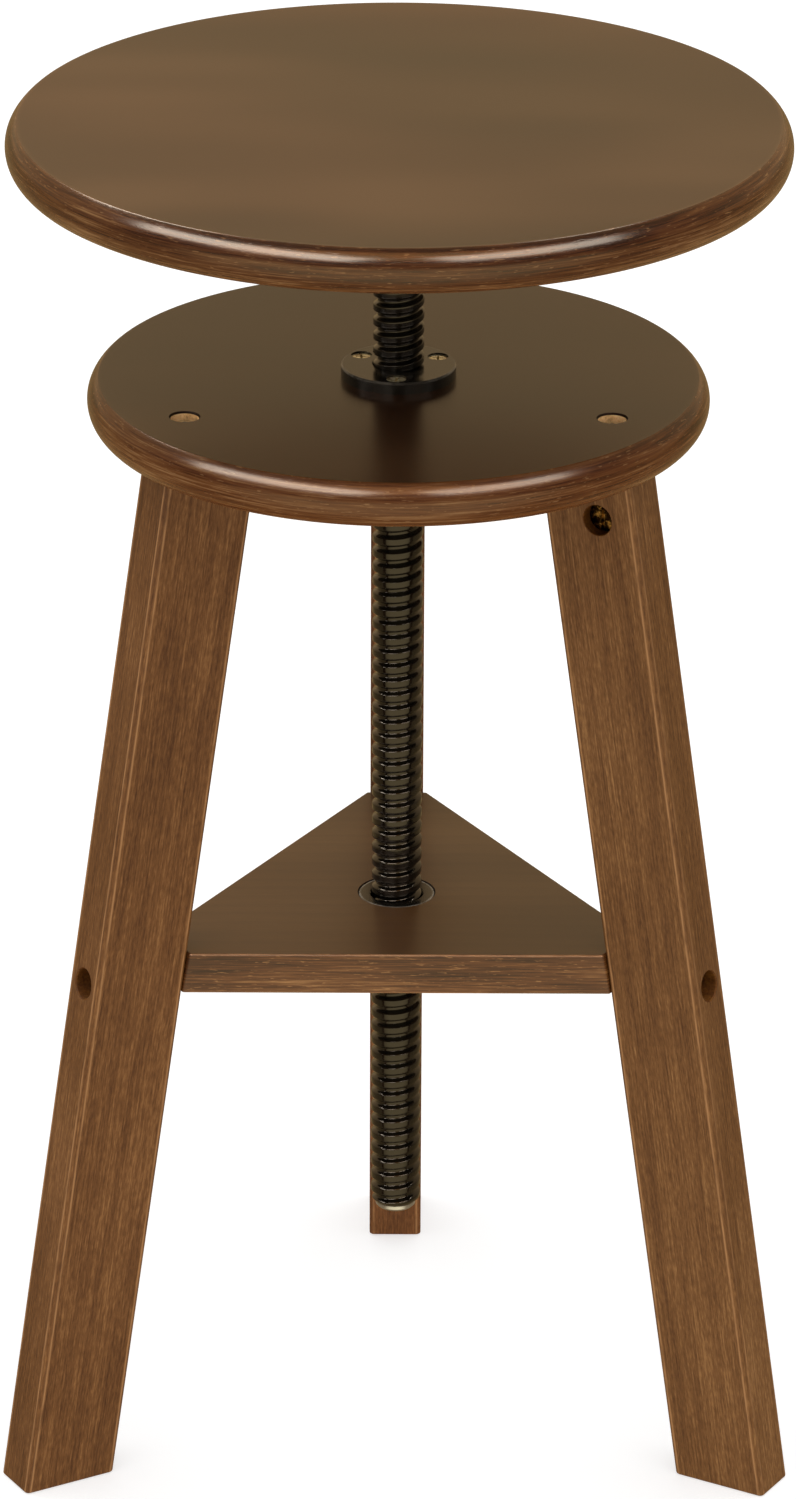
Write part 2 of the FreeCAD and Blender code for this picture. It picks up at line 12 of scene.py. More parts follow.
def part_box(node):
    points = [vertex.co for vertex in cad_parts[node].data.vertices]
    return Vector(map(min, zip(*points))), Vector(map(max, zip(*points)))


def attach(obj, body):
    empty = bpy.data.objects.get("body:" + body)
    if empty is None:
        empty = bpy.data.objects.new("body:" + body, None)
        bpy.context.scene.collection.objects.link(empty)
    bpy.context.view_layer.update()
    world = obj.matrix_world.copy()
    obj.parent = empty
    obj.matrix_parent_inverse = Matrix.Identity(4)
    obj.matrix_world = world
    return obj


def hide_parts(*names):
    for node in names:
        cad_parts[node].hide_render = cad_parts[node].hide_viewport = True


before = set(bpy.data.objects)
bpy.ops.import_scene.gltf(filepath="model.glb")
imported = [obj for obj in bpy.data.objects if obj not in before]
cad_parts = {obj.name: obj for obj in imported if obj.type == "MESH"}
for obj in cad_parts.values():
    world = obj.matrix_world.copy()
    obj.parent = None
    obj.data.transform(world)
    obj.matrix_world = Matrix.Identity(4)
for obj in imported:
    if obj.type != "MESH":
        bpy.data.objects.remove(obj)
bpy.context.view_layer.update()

MM = 0.001

# ---- sizes that the frame doesn't name -----------------------------------------------------------
DISC_RIM_BULGE = 4.5 * MM
DISC_ARRIS_ROUNDING = 0.9 * MM
LEG_ANGLES = {"rear": 90.0, "left": 210.0, "right": 330.0}
LEG_LEAN = 0.161
LEG_WIDTH = 41.7 * MM
LEG_EDGE_ROUNDING = 1.9 * MM
FOOT_ROUNDING = 0.8 * MM
WORN_LINE_WIDTH = 0.6 * MM
LEG_BOLT_CIRCLE = 99.9 * MM
LEG_BOLT_COUNTERBORE = (5.9 * MM, 7.0 * MM)
LEG_NUT_Z = 424.8 * MM
LEG_NUT_HOLE = (6.5 * MM, 18.3 * MM)
SHELF_BOLT_COUNTERBORE = (6.3 * MM, 12.0 * MM)
SHELF_APOTHEM = 64.4 * MM
SHELF_EDGE_ROUNDING = 1.0 * MM
SHELF_NUT_CIRCLE = 87.0 * MM
SHELF_NUT_HOLE_RADIUS = 5.1 * MM
SHELF_NUT_HOLE_TOP = 3.2 * MM
NUT_BODY_HOLE_RADIUS = 14.1 * MM
BUSH_SEAT = (16.1 * MM, 2.8 * MM)
BUSH_BODY_HOLE_RADIUS = 13.1 * MM
THREAD_PITCH = 6.35 * MM
SCREW_ROOT_RADIUS = 8.6 * MM
SCREW_NECK_RADIUS = 8.3 * MM
SCREW_POINT_RADIUS = 8.5 * MM
SCREW_POINT_LENGTH = 2.5 * MM
SCREW_POINT_BEVEL = 1.0 * MM
SCREW_THREAD_TOP = 549.4 * MM
HOLE_RIM = 0.5 * MM
STAIN_AND_SHADE_DEPTH = 0.9 * MM
MARGIN = 4.0 * MM

# ---- colours, as linear light; tones run from the darkest grain to the palest --------------------
DISC_TONES = ((0.020, 0.006, 0.002), (0.040, 0.014, 0.005), (0.056, 0.021, 0.007), (0.095, 0.042, 0.016))
DISC_DRIFT = (0.028, 0.018, 0.006)
SEAT_RIM_TONES = (
    (0.026, 0.006, 0.001), (0.060, 0.015, 0.003), (0.102, 0.034, 0.008), (0.230, 0.110, 0.040),
)
PLATFORM_RIM_TONES = (
    (0.035, 0.008, 0.001), (0.085, 0.022, 0.004), (0.122, 0.040, 0.009), (0.240, 0.115, 0.042),
)
LEG_TONES = ((0.052, 0.017, 0.003), (0.106, 0.039, 0.007), (0.168, 0.068, 0.015), (0.320, 0.152, 0.046))
SHELF_TONES = ((0.038, 0.012, 0.002), (0.074, 0.026, 0.004), (0.112, 0.045, 0.009), (0.210, 0.100, 0.028))
SHELF_SIDE_TONES = (
    (0.026, 0.006, 0.001), (0.074, 0.021, 0.002), (0.130, 0.043, 0.006), (0.340, 0.160, 0.045),
)
# Multiplied into a darker leg: a deeper stain on the left leg, painted shade on the rear leg.
LEG_STAIN_AND_PAINTED_SHADE = (0.80, 0.62, 0.48)
WOOD_WORN = (0.440, 0.215, 0.078)
IRON_WORN_AND_HIGHLIGHT = (0.340, 0.300, 0.240)
GAP_SHADE = ((0.006, 0.002, 0.0005), (0.016, 0.006, 0.0015))
RAW_WOOD_TONES = ((0.400, 0.220, 0.090), (0.850, 0.560, 0.260), (1.000, 0.760, 0.440))
# A darker hole lining: painted shade deep in the legs' holes, stain in the shelf holes' mouths.
HOLE_STAIN_AND_SHADE_TONES = ((0.040, 0.010, 0.001), (0.110, 0.036, 0.005), (0.200, 0.080, 0.012))
DOWEL_TONES = ((0.100, 0.042, 0.014), *RAW_WOOD_TONES)
CARD_COLOUR = (1.0, 0.86, 0.71)
GLOW_COLOUR = (1.0, 0.47, 0.14)

# ---- how each board's wood looks -----------------------------------------------------------------
SEAT_LOOK = {
    "rings": 0.0, "bands": 0.03, "streaks": 0.04, "specks": 0.0, "clouds": 1.0, "pores": 0.0,
    "roughness": 0.29, "gloss": 0.5, "relief": 0.15, "wear": 0.08,
    "rim_painted_floor_light": 0.40, "rim_streaks": 1.8, "rim_roughness": 0.20,
}
PLATFORM_LOOK = SEAT_LOOK | {"roughness": 0.26, "gloss": 0.44, "rim_painted_floor_light": 0.20}
LEG_LOOK = {
    "rings": 0.10, "bands": 0.15, "streaks": 1.10, "specks": 0.80, "clouds": 0.45, "pores": 0.40,
    "roughness": 0.50, "gloss": 0.22, "relief": 0.25, "wear": 0.90,
}
SHELF_LOOK = {
    "rings": 0.05, "bands": 0.10, "streaks": 0.30, "specks": 0.10, "clouds": 0.60, "pores": 0.10,
    "roughness": 0.35, "gloss": 0.50, "relief": 0.20, "wear": 0.75,
    "rim_painted_floor_light": 0.0, "rim_streaks": 1.9, "rim_roughness": 0.40,
}
DOWEL_LOOK = LEG_LOOK | {"roughness": 0.6, "gloss": 0.0}


# ---- mesh helpers --------------------------------------------------------------------------------
def add_object(name, vertices, faces):
    """A new mesh object in the part's frame."""
    mesh = bpy.data.meshes.new(name)
    mesh.from_pydata(vertices, [], faces)
    mesh.update()
    obj = bpy.data.objects.new(name, mesh)
    bpy.context.scene.collection.objects.link(obj)
    return obj


def lathe(outline, segments, closed=False):
    """Vertices and faces of a form turned about Z from (radius, height) points."""
    vertices, rings = [], []
    for radius, height in outline:
        count = segments if radius > 1e-7 else 1
        rings.append([len(vertices) + k for k in range(count)])
        for k in range(count):
            angle = 2 * math.pi * k / segments
            vertices.append((radius * math.cos(angle), radius * math.sin(angle), height))
    neighbours = list(zip(rings, rings[1:]))
    if closed:
        neighbours.append((rings[-1], rings[0]))
    faces = []
    for lower, upper in neighbours:
        for k in range(segments):
            corners = [
                lower[k % len(lower)],
                lower[(k + 1) % len(lower)],
                upper[(k + 1) % len(upper)],
                upper[k % len(upper)],
            ]
            faces.append(list(dict.fromkeys(corners)))
    return vertices, faces


def arc(centre, radius, start, end, steps):
    """Points on an arc in the (radius, height) plane, angles in degrees."""
    points = []
    for step in range(steps + 1):
        angle = math.radians(start + (end - start) * step / steps)
        points.append((centre[0] + radius * math.cos(angle), centre[1] + radius * math.sin(angle)))
    return points


def drill(radius, depth, position, direction, lining, mouth, rim=0.0, segments=64):
    """A cutter for a blind hole that starts at position and runs along direction.

    The hole's wall has one material inside and another in its mouth, where stain soaks in;
    on the platform's counterbores the mouth is painted shade instead.
    """
    outline = [(0, -depth), (radius, -depth)]
    if depth > 2 * STAIN_AND_SHADE_DEPTH:
        outline.append((radius, -STAIN_AND_SHADE_DEPTH))
    if rim:
        outline.append((radius, -rim))
        outline.append((radius + rim, 0))
    outline.append((radius + rim, MARGIN))
    outline.append((0, MARGIN))
    cutter = add_object("cutter", *lathe(outline, segments))
    inside_mouth = [face for face in cutter.data.polygons if face.center.z > -STAIN_AND_SHADE_DEPTH]
    turn = (-Vector(direction)).to_track_quat("Z", "Y").to_matrix().to_4x4()
    cutter.data.transform(Matrix.Translation(position) @ turn)
    cutter.data.materials.append(materials[lining])
    cutter.data.materials.append(materials[mouth])
    for face in inside_mouth:
        face.material_index = 1
    return cutter


def carve(obj, cutters):
    """Cut holes out of a piece.  The walls that a cutter leaves take the cutter's material."""
    for cutter in cutters:
        cut = obj.modifiers.new("cut", "BOOLEAN")
        cut.operation = "DIFFERENCE"
        cut.solver = "EXACT"
        cut.material_mode = "TRANSFER"
        cut.object = cutter
    carved = bpy.data.meshes.new_from_object(obj.evaluated_get(bpy.context.evaluated_depsgraph_get()))
    obj.modifiers.clear()
    obj.data = carved
    carved.name = obj.name
    for cutter in cutters:
        bpy.data.objects.remove(cutter)


def smooth(obj, angle=32.0):
    """Smooth shading that keeps flat faces flat and real corners sharp."""
    obj.data.shade_smooth()
    obj.data.set_sharp_from_angle(angle=math.radians(angle))
    weighted = obj.modifiers.new("flat_faces", "WEIGHTED_NORMAL")
    weighted.keep_sharp = True
    weighted.weight = 100


def store(mesh, name, kind, field, values):
    """Keep one value for each vertex under a name that a material can read."""
    attribute = mesh.attributes.new(name, kind, "POINT")
    attribute.data.foreach_set(field, values)


def paint(obj, grain_of, wear_of, rim_of=None):
    """Store where each vertex lies in its board's grain, and how worn its edge is.

    A disc or the shelf also keeps whether a vertex is on the board's rim, and how far down
    it.  A leg keeps how much darker than the others it is: a deeper stain on the left leg,
    painted shade on the rear leg.
    """
    points = [vertex.co.copy() for vertex in obj.data.vertices]
    grain, edge = [], []
    for point in points:
        grain += grain_of(point)
        edge += (min(1.0, max(0.0, wear_of(point))), *(rim_of(point) if rim_of else (0.0, 0.0)))
    store(obj.data, "grain", "FLOAT_VECTOR", "vector", grain)
    store(obj.data, "edge", "FLOAT_VECTOR", "vector", edge)


def fit(obj, body, slot, *nodes):
    """Let a finished piece ride on its body in place of the CAD nodes."""
    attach(obj, body)
    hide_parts(*nodes)


# ---- shader helpers ------------------------------------------------------------------------------
class Shader:
    """A material's or world's node tree, with short calls that add and link its nodes."""

    def __init__(self, owner):
        owner.use_nodes = True
        self.owner = owner
        self.nodes = owner.node_tree.nodes
        self.links = owner.node_tree.links

    def add(self, kind, inputs=None, output=0, **settings):
        node = self.nodes.new(kind)
        for key, value in settings.items():
            setattr(node, key, value)
        for key, value in (inputs or {}).items():
            self.put(node.inputs[key], value)
        return node.outputs[output]

    def put(self, socket, value):
        if isinstance(value, bpy.types.NodeSocket):
            self.links.new(value, socket)
        elif isinstance(value, tuple) and len(value) == 3 and socket.type == "RGBA":
            socket.default_value = (*value, 1.0)
        else:
            socket.default_value = value

    def maths(self, operation, first, second=0.0):
        return self.add("ShaderNodeMath", {0: first, 1: second}, operation=operation)

    def length(self, first, second):
        """The length of a line from its two components."""
        squares = self.maths("ADD", self.maths("POWER", first, 2.0), self.maths("POWER", second, 2.0))
        return self.maths("SQRT", squares)

    def parts(self, vector):
        """The three components of a vector."""
        return self.add("ShaderNodeSeparateXYZ", {0: vector}).node.outputs

    def attribute(self, name, output):
        node = self.nodes.new("ShaderNodeAttribute")
        node.attribute_name = name
        return node.outputs[output]

    def place(self):
        """Where a point lies in its object, in metres."""
        return self.nodes.new("ShaderNodeTexCoord").outputs["Object"]

    def stretched(self, vector, scale):
        return self.add("ShaderNodeVectorMath", {0: vector, 1: scale}, operation="MULTIPLY")

    def noise(self, vector, detail=2.0, roughness=0.5, scale=1.0):
        return self.add("ShaderNodeTexNoise", {
            "Vector": vector,
            "Scale": scale,
            "Detail": detail,
            "Roughness": roughness,
        })

    def between(self, value, low, high, to_low=0.0, to_high=1.0):
        """A smooth step of value from low..high to to_low..to_high."""
        return self.add("ShaderNodeMapRange", {
            "Value": value,
            "From Min": low,
            "From Max": high,
            "To Min": to_low,
            "To Max": to_high,
        }, interpolation_type="SMOOTHSTEP")

    def ramp(self, value, stops, interpolation="LINEAR"):
        node = self.nodes.new("ShaderNodeValToRGB")
        node.color_ramp.interpolation = interpolation
        band = node.color_ramp.elements
        while len(band) < len(stops):
            band.new(0.5)
        for element, (position, colour) in zip(band, stops):
            element.position = position
            element.color = (*colour, 1.0)
        self.put(node.inputs[0], value)
        return node.outputs[0]

    def mix(self, factor, first, second, blend="MIX"):
        node = self.nodes.new("ShaderNodeMix")
        node.data_type = "RGBA"
        node.blend_type = blend
        self.put(node.inputs["Factor"], factor)
        self.put(node.inputs["A"], first)
        self.put(node.inputs["B"], second)
        return node.outputs["Result"]

    def weighted_sum(self, base, *terms):
        """base plus each (value - 0.5) times its weight."""
        total = base
        for value, weight in terms:
            centred = self.maths("SUBTRACT", value, 0.5)
            total = self.maths("ADD", total, self.maths("MULTIPLY", centred, weight))
        return total

    def finish(self, colour, roughness, height=None, bump=0.0, distance=0.2 * MM, **constants):
        surface = self.nodes["Principled BSDF"].inputs
        self.put(surface["Base Color"], colour)
        self.put(surface["Roughness"], roughness)
        for key, value in constants.items():
            self.put(surface[key.replace("_", " ")], value)
        if height is not None:
            normal = self.add("ShaderNodeBump", {"Strength": bump, "Distance": distance, "Height": height})
            self.put(surface["Normal"], normal)
        return self.owner


def material_shader(name):
    """A new material for one finish, as a shader."""
    return Shader(bpy.data.materials.new(name + "_finish"))


# ---- wood ----------------------------------------------------------------------------------------
TONE_STOPS = (0.05, 0.32, 0.58, 0.92)


def late_wood(shader, grain, fine):
    """The dark part of each growth ring, about a pith that lies outside the board."""
    wobble = shader.noise(shader.stretched(grain, (16, 16, 3.5)), detail=2)
    across, through, along = shader.parts(grain)
    bent_across = shader.maths("ADD", across, shader.maths("MULTIPLY", wobble, 0.020))
    bent_through = shader.maths("ADD", through, shader.maths("MULTIPLY", wobble, 0.048))
    pith_distance = shader.length(bent_across, shader.maths("ADD", bent_through, 0.045))
    feathered = shader.maths("ADD", pith_distance, shader.maths("MULTIPLY", fine, 0.0022))
    ring = shader.maths("FRACT", shader.maths("MULTIPLY", feathered, 110.0))
    return shader.maths(
        "MULTIPLY", shader.between(ring, 0.30, 0.9), shader.between(ring, 0.90, 1.0, 1.0, 0.0)
    )


def wood(name, tones, look, rim_tones=None, coordinates="grain"):
    """Stained and lacquered wood.  The grain's third coordinate runs along the fibres.

    look holds how strongly the growth rings, broad bands, fine streaks, specks and clouds
    show, how rough and reflective the lacquer is, its relief, and how worn the edges are.
    A board with rim_tones has level streaks of those tones round its rim.  Its look also
    holds how much paler the rim is painted downwards, as painted light from the floor below,
    how strong the streaks are and how rough the rim is.
    """
    if rim_tones:
        cloud_detail, blending, glint_ends, cloud_polish = 0, "B_SPLINE", (0.365, 0.285), 0.04
    else:
        cloud_detail, blending, glint_ends, cloud_polish = 2, "LINEAR", (0.33, 0.25), 0.14
    shader = material_shader(name)
    if coordinates == "grain":
        grain = shader.attribute("grain", "Vector")
    else:
        grain = shader.place()
    cloud = shader.noise(shader.stretched(grain, (26, 26, 9)), detail=cloud_detail)
    broad = shader.noise(shader.stretched(grain, (260, 260, 5)), detail=3, roughness=0.6)
    fine = shader.noise(shader.stretched(grain, (1300, 1300, 36)), detail=3, roughness=0.7)
    speck = shader.noise(shader.stretched(grain, (1200, 1200, 260)), detail=2, roughness=0.6)
    fleck = shader.noise(shader.stretched(grain, (1900, 1900, 170)), detail=2, roughness=0.5)
    tone = shader.weighted_sum(
        0.5,
        (late_wood(shader, grain, fine), -look["rings"]),
        (broad, look["bands"]),
        (fine, look["streaks"]),
        (speck, look["specks"]),
        (cloud, look["clouds"]),
    )
    colour = shader.ramp(tone, list(zip(TONE_STOPS, tones)), blending)
    glint_strength = 0.22

    if coordinates == "grain":
        wear, on_rim, drop = shader.parts(shader.attribute("edge", "Vector"))
        # On a leg the second channel darkens it: a deeper stain on the left leg, painted shade on the rear
        # leg.
        if not rim_tones:
            colour = shader.mix(on_rim, colour, LEG_STAIN_AND_PAINTED_SHADE, blend="MULTIPLY")
    if rim_tones:
        place = shader.place()
        rim_streak = shader.noise(shader.stretched(place, (34, 34, 1300)), detail=3, roughness=0.7)
        rim_band = shader.noise(shader.stretched(place, (9, 9, 330)), detail=3, roughness=0.6)
        rim_fleck = shader.noise(shader.stretched(place, (210, 210, 1900)), detail=2, roughness=0.5)
        # The rim's tone grows paler downwards: painted light from the bright floor below.
        rim_tone = shader.weighted_sum(
            0.42,
            (drop, look["rim_painted_floor_light"]),
            (rim_streak, look["rim_streaks"]),
            (rim_band, 0.9),
            (cloud, 0.5),
        )
        patch = shader.noise(shader.stretched(grain, (7, 7, 4)), detail=0)
        drift = shader.maths("MULTIPLY", shader.between(patch, 0.25, 0.75), 0.55)
        colour = shader.mix(drift, colour, DISC_DRIFT)
        colour = shader.mix(on_rim, colour, shader.ramp(rim_tone, list(zip(TONE_STOPS, rim_tones))))
        fine = shader.between(on_rim, 0.0, 1.0, fine, rim_streak)
        fleck = shader.between(on_rim, 0.0, 1.0, fleck, rim_fleck)
        glint_strength = shader.between(on_rim, 0.0, 1.0, 0.0, 0.70)

    pores = shader.between(fleck, 0.62, 0.74)
    colour = shader.mix(shader.maths("MULTIPLY", pores, look["pores"]), colour, tones[0])
    glints = shader.maths("MULTIPLY", shader.between(fleck, *glint_ends), glint_strength)
    colour = shader.mix(glints, colour, (rim_tones or tones)[3])
    if coordinates == "grain":
        scuff = shader.noise(shader.stretched(grain, (700, 700, 90)), detail=5)
        patchy = shader.between(scuff, 0.30, 0.54, 0.35, 1.0)
        rubbed = shader.maths("MULTIPLY", shader.maths("MULTIPLY", wear, patchy), look["wear"])
        colour = shader.mix(rubbed, colour, WOOD_WORN)

    roughness = look["roughness"]
    height = shader.weighted_sum(0.5, (fine, 0.7), (broad, 0.35), (pores, -0.9))
    if rim_tones:
        roughness = shader.between(on_rim, 0.0, 1.0, roughness, look["rim_roughness"])
        height = shader.maths("MULTIPLY", height, shader.between(on_rim, 0.0, 1.0, 0.01, 1.0))
    rough = shader.weighted_sum(roughness, (cloud, cloud_polish))
    return shader.finish(
        colour, rough, height, bump=look["relief"], distance=0.15 * MM, Specular_IOR_Level=look["gloss"],
    )


def hole_wood(name, tones):
    """Wood on the walls of a drilled hole, from its shaded grain to its palest."""
    shader = material_shader(name)
    place = shader.place()
    fibres = shader.noise(shader.stretched(place, (900, 900, 900)), detail=4, roughness=0.6)
    cloud = shader.noise(shader.stretched(place, (160, 160, 160)), detail=2)
    tone = shader.weighted_sum(0.5, (fibres, 0.9), (cloud, 0.8))
    colour = shader.ramp(tone, list(zip((0.15, 0.5, 0.85), tones)))
    rough = shader.weighted_sum(0.6, (fibres, 0.2))
    return shader.finish(colour, rough, fibres, bump=0.4, Specular_IOR_Level=0.1)


# ---- metals and washer ---------------------------------------------------------------------------
def metal(name, dark, light, roughness, spot_scale, metallic, bump=0.08, ends=(0.2, 0.8), **constants):
    """A metal or painted metal with cloudy colour and uneven polish."""
    shader = material_shader(name)
    place = shader.place()
    cloud = shader.noise(place, detail=4, roughness=0.6, scale=spot_scale)
    speck = shader.noise(place, detail=3, roughness=0.7, scale=spot_scale * 9)
    tone = shader.weighted_sum(0.5, (cloud, 1.1), (speck, 0.5))
    colour = shader.ramp(tone, list(zip(ends, (dark, light))))
    rough = shader.weighted_sum(roughness, (cloud, 0.16), (speck, 0.10))
    return shader.finish(
        colour, rough, speck, bump=bump, distance=0.05 * MM, Metallic=metallic, **constants
    )


def brushed_steel(name, dark, light, roughness):
    """Turned steel, with fine rings about the screw's axis."""
    shader = material_shader(name)
    place = shader.place()
    x, y, height = shader.parts(place)
    rings = shader.add("ShaderNodeCombineXYZ", {0: shader.length(x, y), 1: height})
    turning = shader.noise(rings, detail=3, roughness=0.7, scale=5200)
    cloud = shader.noise(place, detail=3, scale=140)
    tone = shader.weighted_sum(0.5, (turning, 0.9), (cloud, 0.6))
    colour = shader.ramp(tone, [(0.2, dark), (0.8, light)])
    rough = shader.weighted_sum(roughness, (turning, 0.16), (cloud, 0.12))
    return shader.finish(colour, rough, turning, bump=0.12, distance=0.04 * MM, Metallic=1.0)


def iron_worn_and_highlit(name, node, worn_and_highlight):
    """Black iron, rubbed bright round a node's upper outer edge about the screw's axis, partly a painted
    highlight.
    """
    rim_radius, rim_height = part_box(node)[1].x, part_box(node)[1].z
    shader = material_shader(name)
    place = shader.place()
    x, y, height = shader.parts(place)
    outward = shader.maths("ABSOLUTE", shader.maths("SUBTRACT", shader.length(x, y), rim_radius))
    upward = shader.maths("ABSOLUTE", shader.maths("SUBTRACT", height, rim_height))
    near_edge = shader.between(shader.maths("ADD", outward, upward), 0.4 * MM, 1.3 * MM, 1.0, 0.0)
    cloud = shader.noise(place, detail=4, roughness=0.6, scale=120)
    speck = shader.noise(place, detail=3, roughness=0.7, scale=1100)
    tone = shader.weighted_sum(0.5, (cloud, 1.1), (speck, 0.5))
    colour = shader.ramp(tone, [(0.2, (0.003, 0.002, 0.0015)), (0.8, (0.020, 0.017, 0.012))])
    # The pale edge is partly rubbed wear and partly a painted highlight line.
    rubbed = shader.maths("MULTIPLY", near_edge, shader.between(cloud, 0.35, 0.60, 0.3 * worn_and_highlight, worn_and_highlight))
    colour = shader.mix(rubbed, colour, IRON_WORN_AND_HIGHLIGHT)
    rough = shader.weighted_sum(0.18, (cloud, 0.10), (speck, 0.06))
    return shader.finish(colour, rough, speck, bump=0.08, distance=0.05 * MM)


def make_materials():
    """Every material of the part, by its name without the ending."""
    made = [
        wood("seat_wood", DISC_TONES, SEAT_LOOK, rim_tones=SEAT_RIM_TONES),
        wood("platform_wood", DISC_TONES, PLATFORM_LOOK, rim_tones=PLATFORM_RIM_TONES),
        wood("leg_wood", LEG_TONES, LEG_LOOK),
        wood("shelf_wood", SHELF_TONES, SHELF_LOOK, rim_tones=SHELF_SIDE_TONES),
        wood("dowel_wood", DOWEL_TONES, DOWEL_LOOK, coordinates="object"),
        hole_wood("raw_wood", RAW_WOOD_TONES),
        hole_wood("hole_stain_and_shade", HOLE_STAIN_AND_SHADE_TONES),
        # Near-black walls: painted shade in the gap round the bush and in the counterbores' mouths.
        metal("painted_gap_shade", *GAP_SHADE, roughness=0.6, spot_scale=300, metallic=0.0, Specular_IOR_Level=0.1),
        metal(
            "black_screw", (0.002, 0.0015, 0.001), (0.008, 0.006, 0.004),
            roughness=0.12, spot_scale=90, metallic=0.0, Specular_IOR_Level=0.5,
        ),
        # The pale edges of the flange and the bush are partly wear, partly painted highlight.
        iron_worn_and_highlit("flange_iron", "flange_nut", worn_and_highlight=0.35),
        iron_worn_and_highlit("bush_iron", "guide_bush", worn_and_highlight=1.0),
        brushed_steel("bare_steel", (0.32, 0.36, 0.46), (0.66, 0.74, 0.94), roughness=0.34),
        metal(
            "plate_steel", (0.020, 0.019, 0.018), (0.050, 0.047, 0.043),
            roughness=0.42, spot_scale=70, metallic=0.3,
        ),
        metal(
            "washer_nylon", (0.42, 0.40, 0.35), (0.60, 0.58, 0.52),
            roughness=0.5, spot_scale=200, metallic=0.0,
        ),
        # The flange screws' zinc: its contrasty bright specks are painted glints.
        metal(
            "yellow_zinc", (0.20, 0.11, 0.025), (1.00, 0.90, 0.58),
            roughness=0.18, spot_scale=480, metallic=0.50, bump=0.45, ends=(0.34, 0.54),
        ),
        # The barrel nuts: mostly near-black, painted shade in their holes, with bright specks that are
        # painted glints.
        metal(
            "brass_nut", (0.010, 0.005, 0.002), (0.480, 0.300, 0.110),
            roughness=0.18, spot_scale=300, metallic=1.0, bump=0.20, ends=(0.50, 0.74),
        ),
        metal(
            "bright_zinc", (0.50, 0.50, 0.48), (0.85, 0.84, 0.80),
            roughness=0.22, spot_scale=420, metallic=1.0,
        ),
    ]
    return {material.name.removesuffix("_finish"): material for material in made}


# ---- wooden discs --------------------------------------------------------------------------------
def disc_outline(radius, low, high):
    """Half of a disc's section: flat faces, softened arrises and a shallow convex rim."""
    half = (high - low) / 2
    middle = (high + low) / 2
    rim_radius = (half ** 2 + DISC_RIM_BULGE ** 2) / (2 * DISC_RIM_BULGE)
    rim_centre = radius - rim_radius
    inner = rim_radius - DISC_ARRIS_ROUNDING
    reach = half - DISC_ARRIS_ROUNDING
    turn = math.degrees(math.asin(reach / inner))
    arris_radius = rim_centre + math.sqrt(inner ** 2 - reach ** 2)
    lower_arris = arc((arris_radius, low + DISC_ARRIS_ROUNDING), DISC_ARRIS_ROUNDING, -90, -turn, 4)
    rim = arc((rim_centre, middle), rim_radius, -turn, turn, 26)
    upper_arris = arc((arris_radius, high - DISC_ARRIS_ROUNDING), DISC_ARRIS_ROUNDING, turn, 90, 4)
    support = arris_radius - 1.5 * MM
    edge = lower_arris[:-1] + rim + upper_arris[1:]
    return [(support, low)] + edge + [(support, high)]


def disc_wear(radius, low, high):
    """How worn a disc is at a point: most along its two arrises."""
    arris_radius = radius - DISC_RIM_BULGE

    def wear_of(point):
        out = math.hypot(point.x, point.y) - arris_radius
        up = min(abs(point.z - high), abs(point.z - low))
        return 1.25 - math.hypot(out, up) / (1.1 * MM)

    return wear_of


def disc_rim(radius, low, high):
    """Whether a point is on a disc's rim, and how far down the rim it lies."""
    arris_radius = radius - DISC_RIM_BULGE

    def rim_of(point):
        below_top = (high - point.z) / (high - low)
        beyond_holes = math.hypot(point.x, point.y) > arris_radius - 2 * MM
        on_side = beyond_holes and 1e-4 < below_top < 1 - 1e-4
        return (1.0 if on_side else 0.0), below_top

    return rim_of


def along_x(offset):
    """Grain of a disc whose fibres run left to right."""
    return lambda point: (point.y + offset, point.z - offset, point.x + 2 * offset)


def build_seat():
    low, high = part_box("seat")
    outline = [(0, low.z)] + disc_outline(high.x, low.z, high.z) + [(0, high.z)]
    seat = add_object("seat_board", *lathe(outline, 320))
    seat.data.materials.append(materials["seat_wood"])
    size = (high.x, low.z, high.z)
    paint(seat, along_x(0.21), disc_wear(*size), disc_rim(*size))
    smooth(seat)
    fit(seat, "seat", "seat_wood", "seat")


def build_platform():
    low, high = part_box("platform")
    outline = [(NUT_BODY_HOLE_RADIUS, low.z)] + disc_outline(high.x, low.z, high.z)
    outline.append((NUT_BODY_HOLE_RADIUS, high.z))
    board = add_object("platform_board", *lathe(outline, 288, closed=True))
    board.data.materials.append(materials["platform_wood"])
    radius, depth = LEG_BOLT_COUNTERBORE
    down = Vector((0, 0, -1))
    cutters = []
    for angle in LEG_ANGLES.values():
        position = on_circle(LEG_BOLT_CIRCLE, angle, high.z)
        # The counterbores' mouths get painted shade, the shadow under their rims.
        cutters.append(drill(radius, depth, position, down, "raw_wood", "painted_gap_shade", rim=HOLE_RIM))
    carve(board, cutters)
    size = (high.x, low.z, high.z)
    paint(board, along_x(-0.13), disc_wear(*size), disc_rim(*size))
    smooth(board)
    fit(board, "base", "platform_wood", "platform")


def on_circle(radius, degrees, height):
    """A point on a circle about the screw's axis."""
    angle = math.radians(degrees)
    return Vector((radius * math.cos(angle), radius * math.sin(angle), height))


# ---- legs ----------------------------------------------------------------------------------------
def leg_section(width, thickness):
    """A plank's section about its centre, with rounded corners and a line beside each one."""
    beside = 0.7 * MM
    points = []
    for quarter in range(4):
        side = -1 if quarter in (1, 2) else 1
        face = -1 if quarter in (2, 3) else 1
        centre = (side * (width / 2 - LEG_EDGE_ROUNDING), face * (thickness / 2 - LEG_EDGE_ROUNDING))
        corner = arc(centre, LEG_EDGE_ROUNDING, 90 * quarter, 90 * quarter + 90, 6)
        lead_in = Vector(corner[0]) - beside * tangent(90 * quarter)
        lead_out = Vector(corner[-1]) + beside * tangent(90 * quarter + 90)
        points += [tuple(lead_in)] + corner + [tuple(lead_out)]
    return points


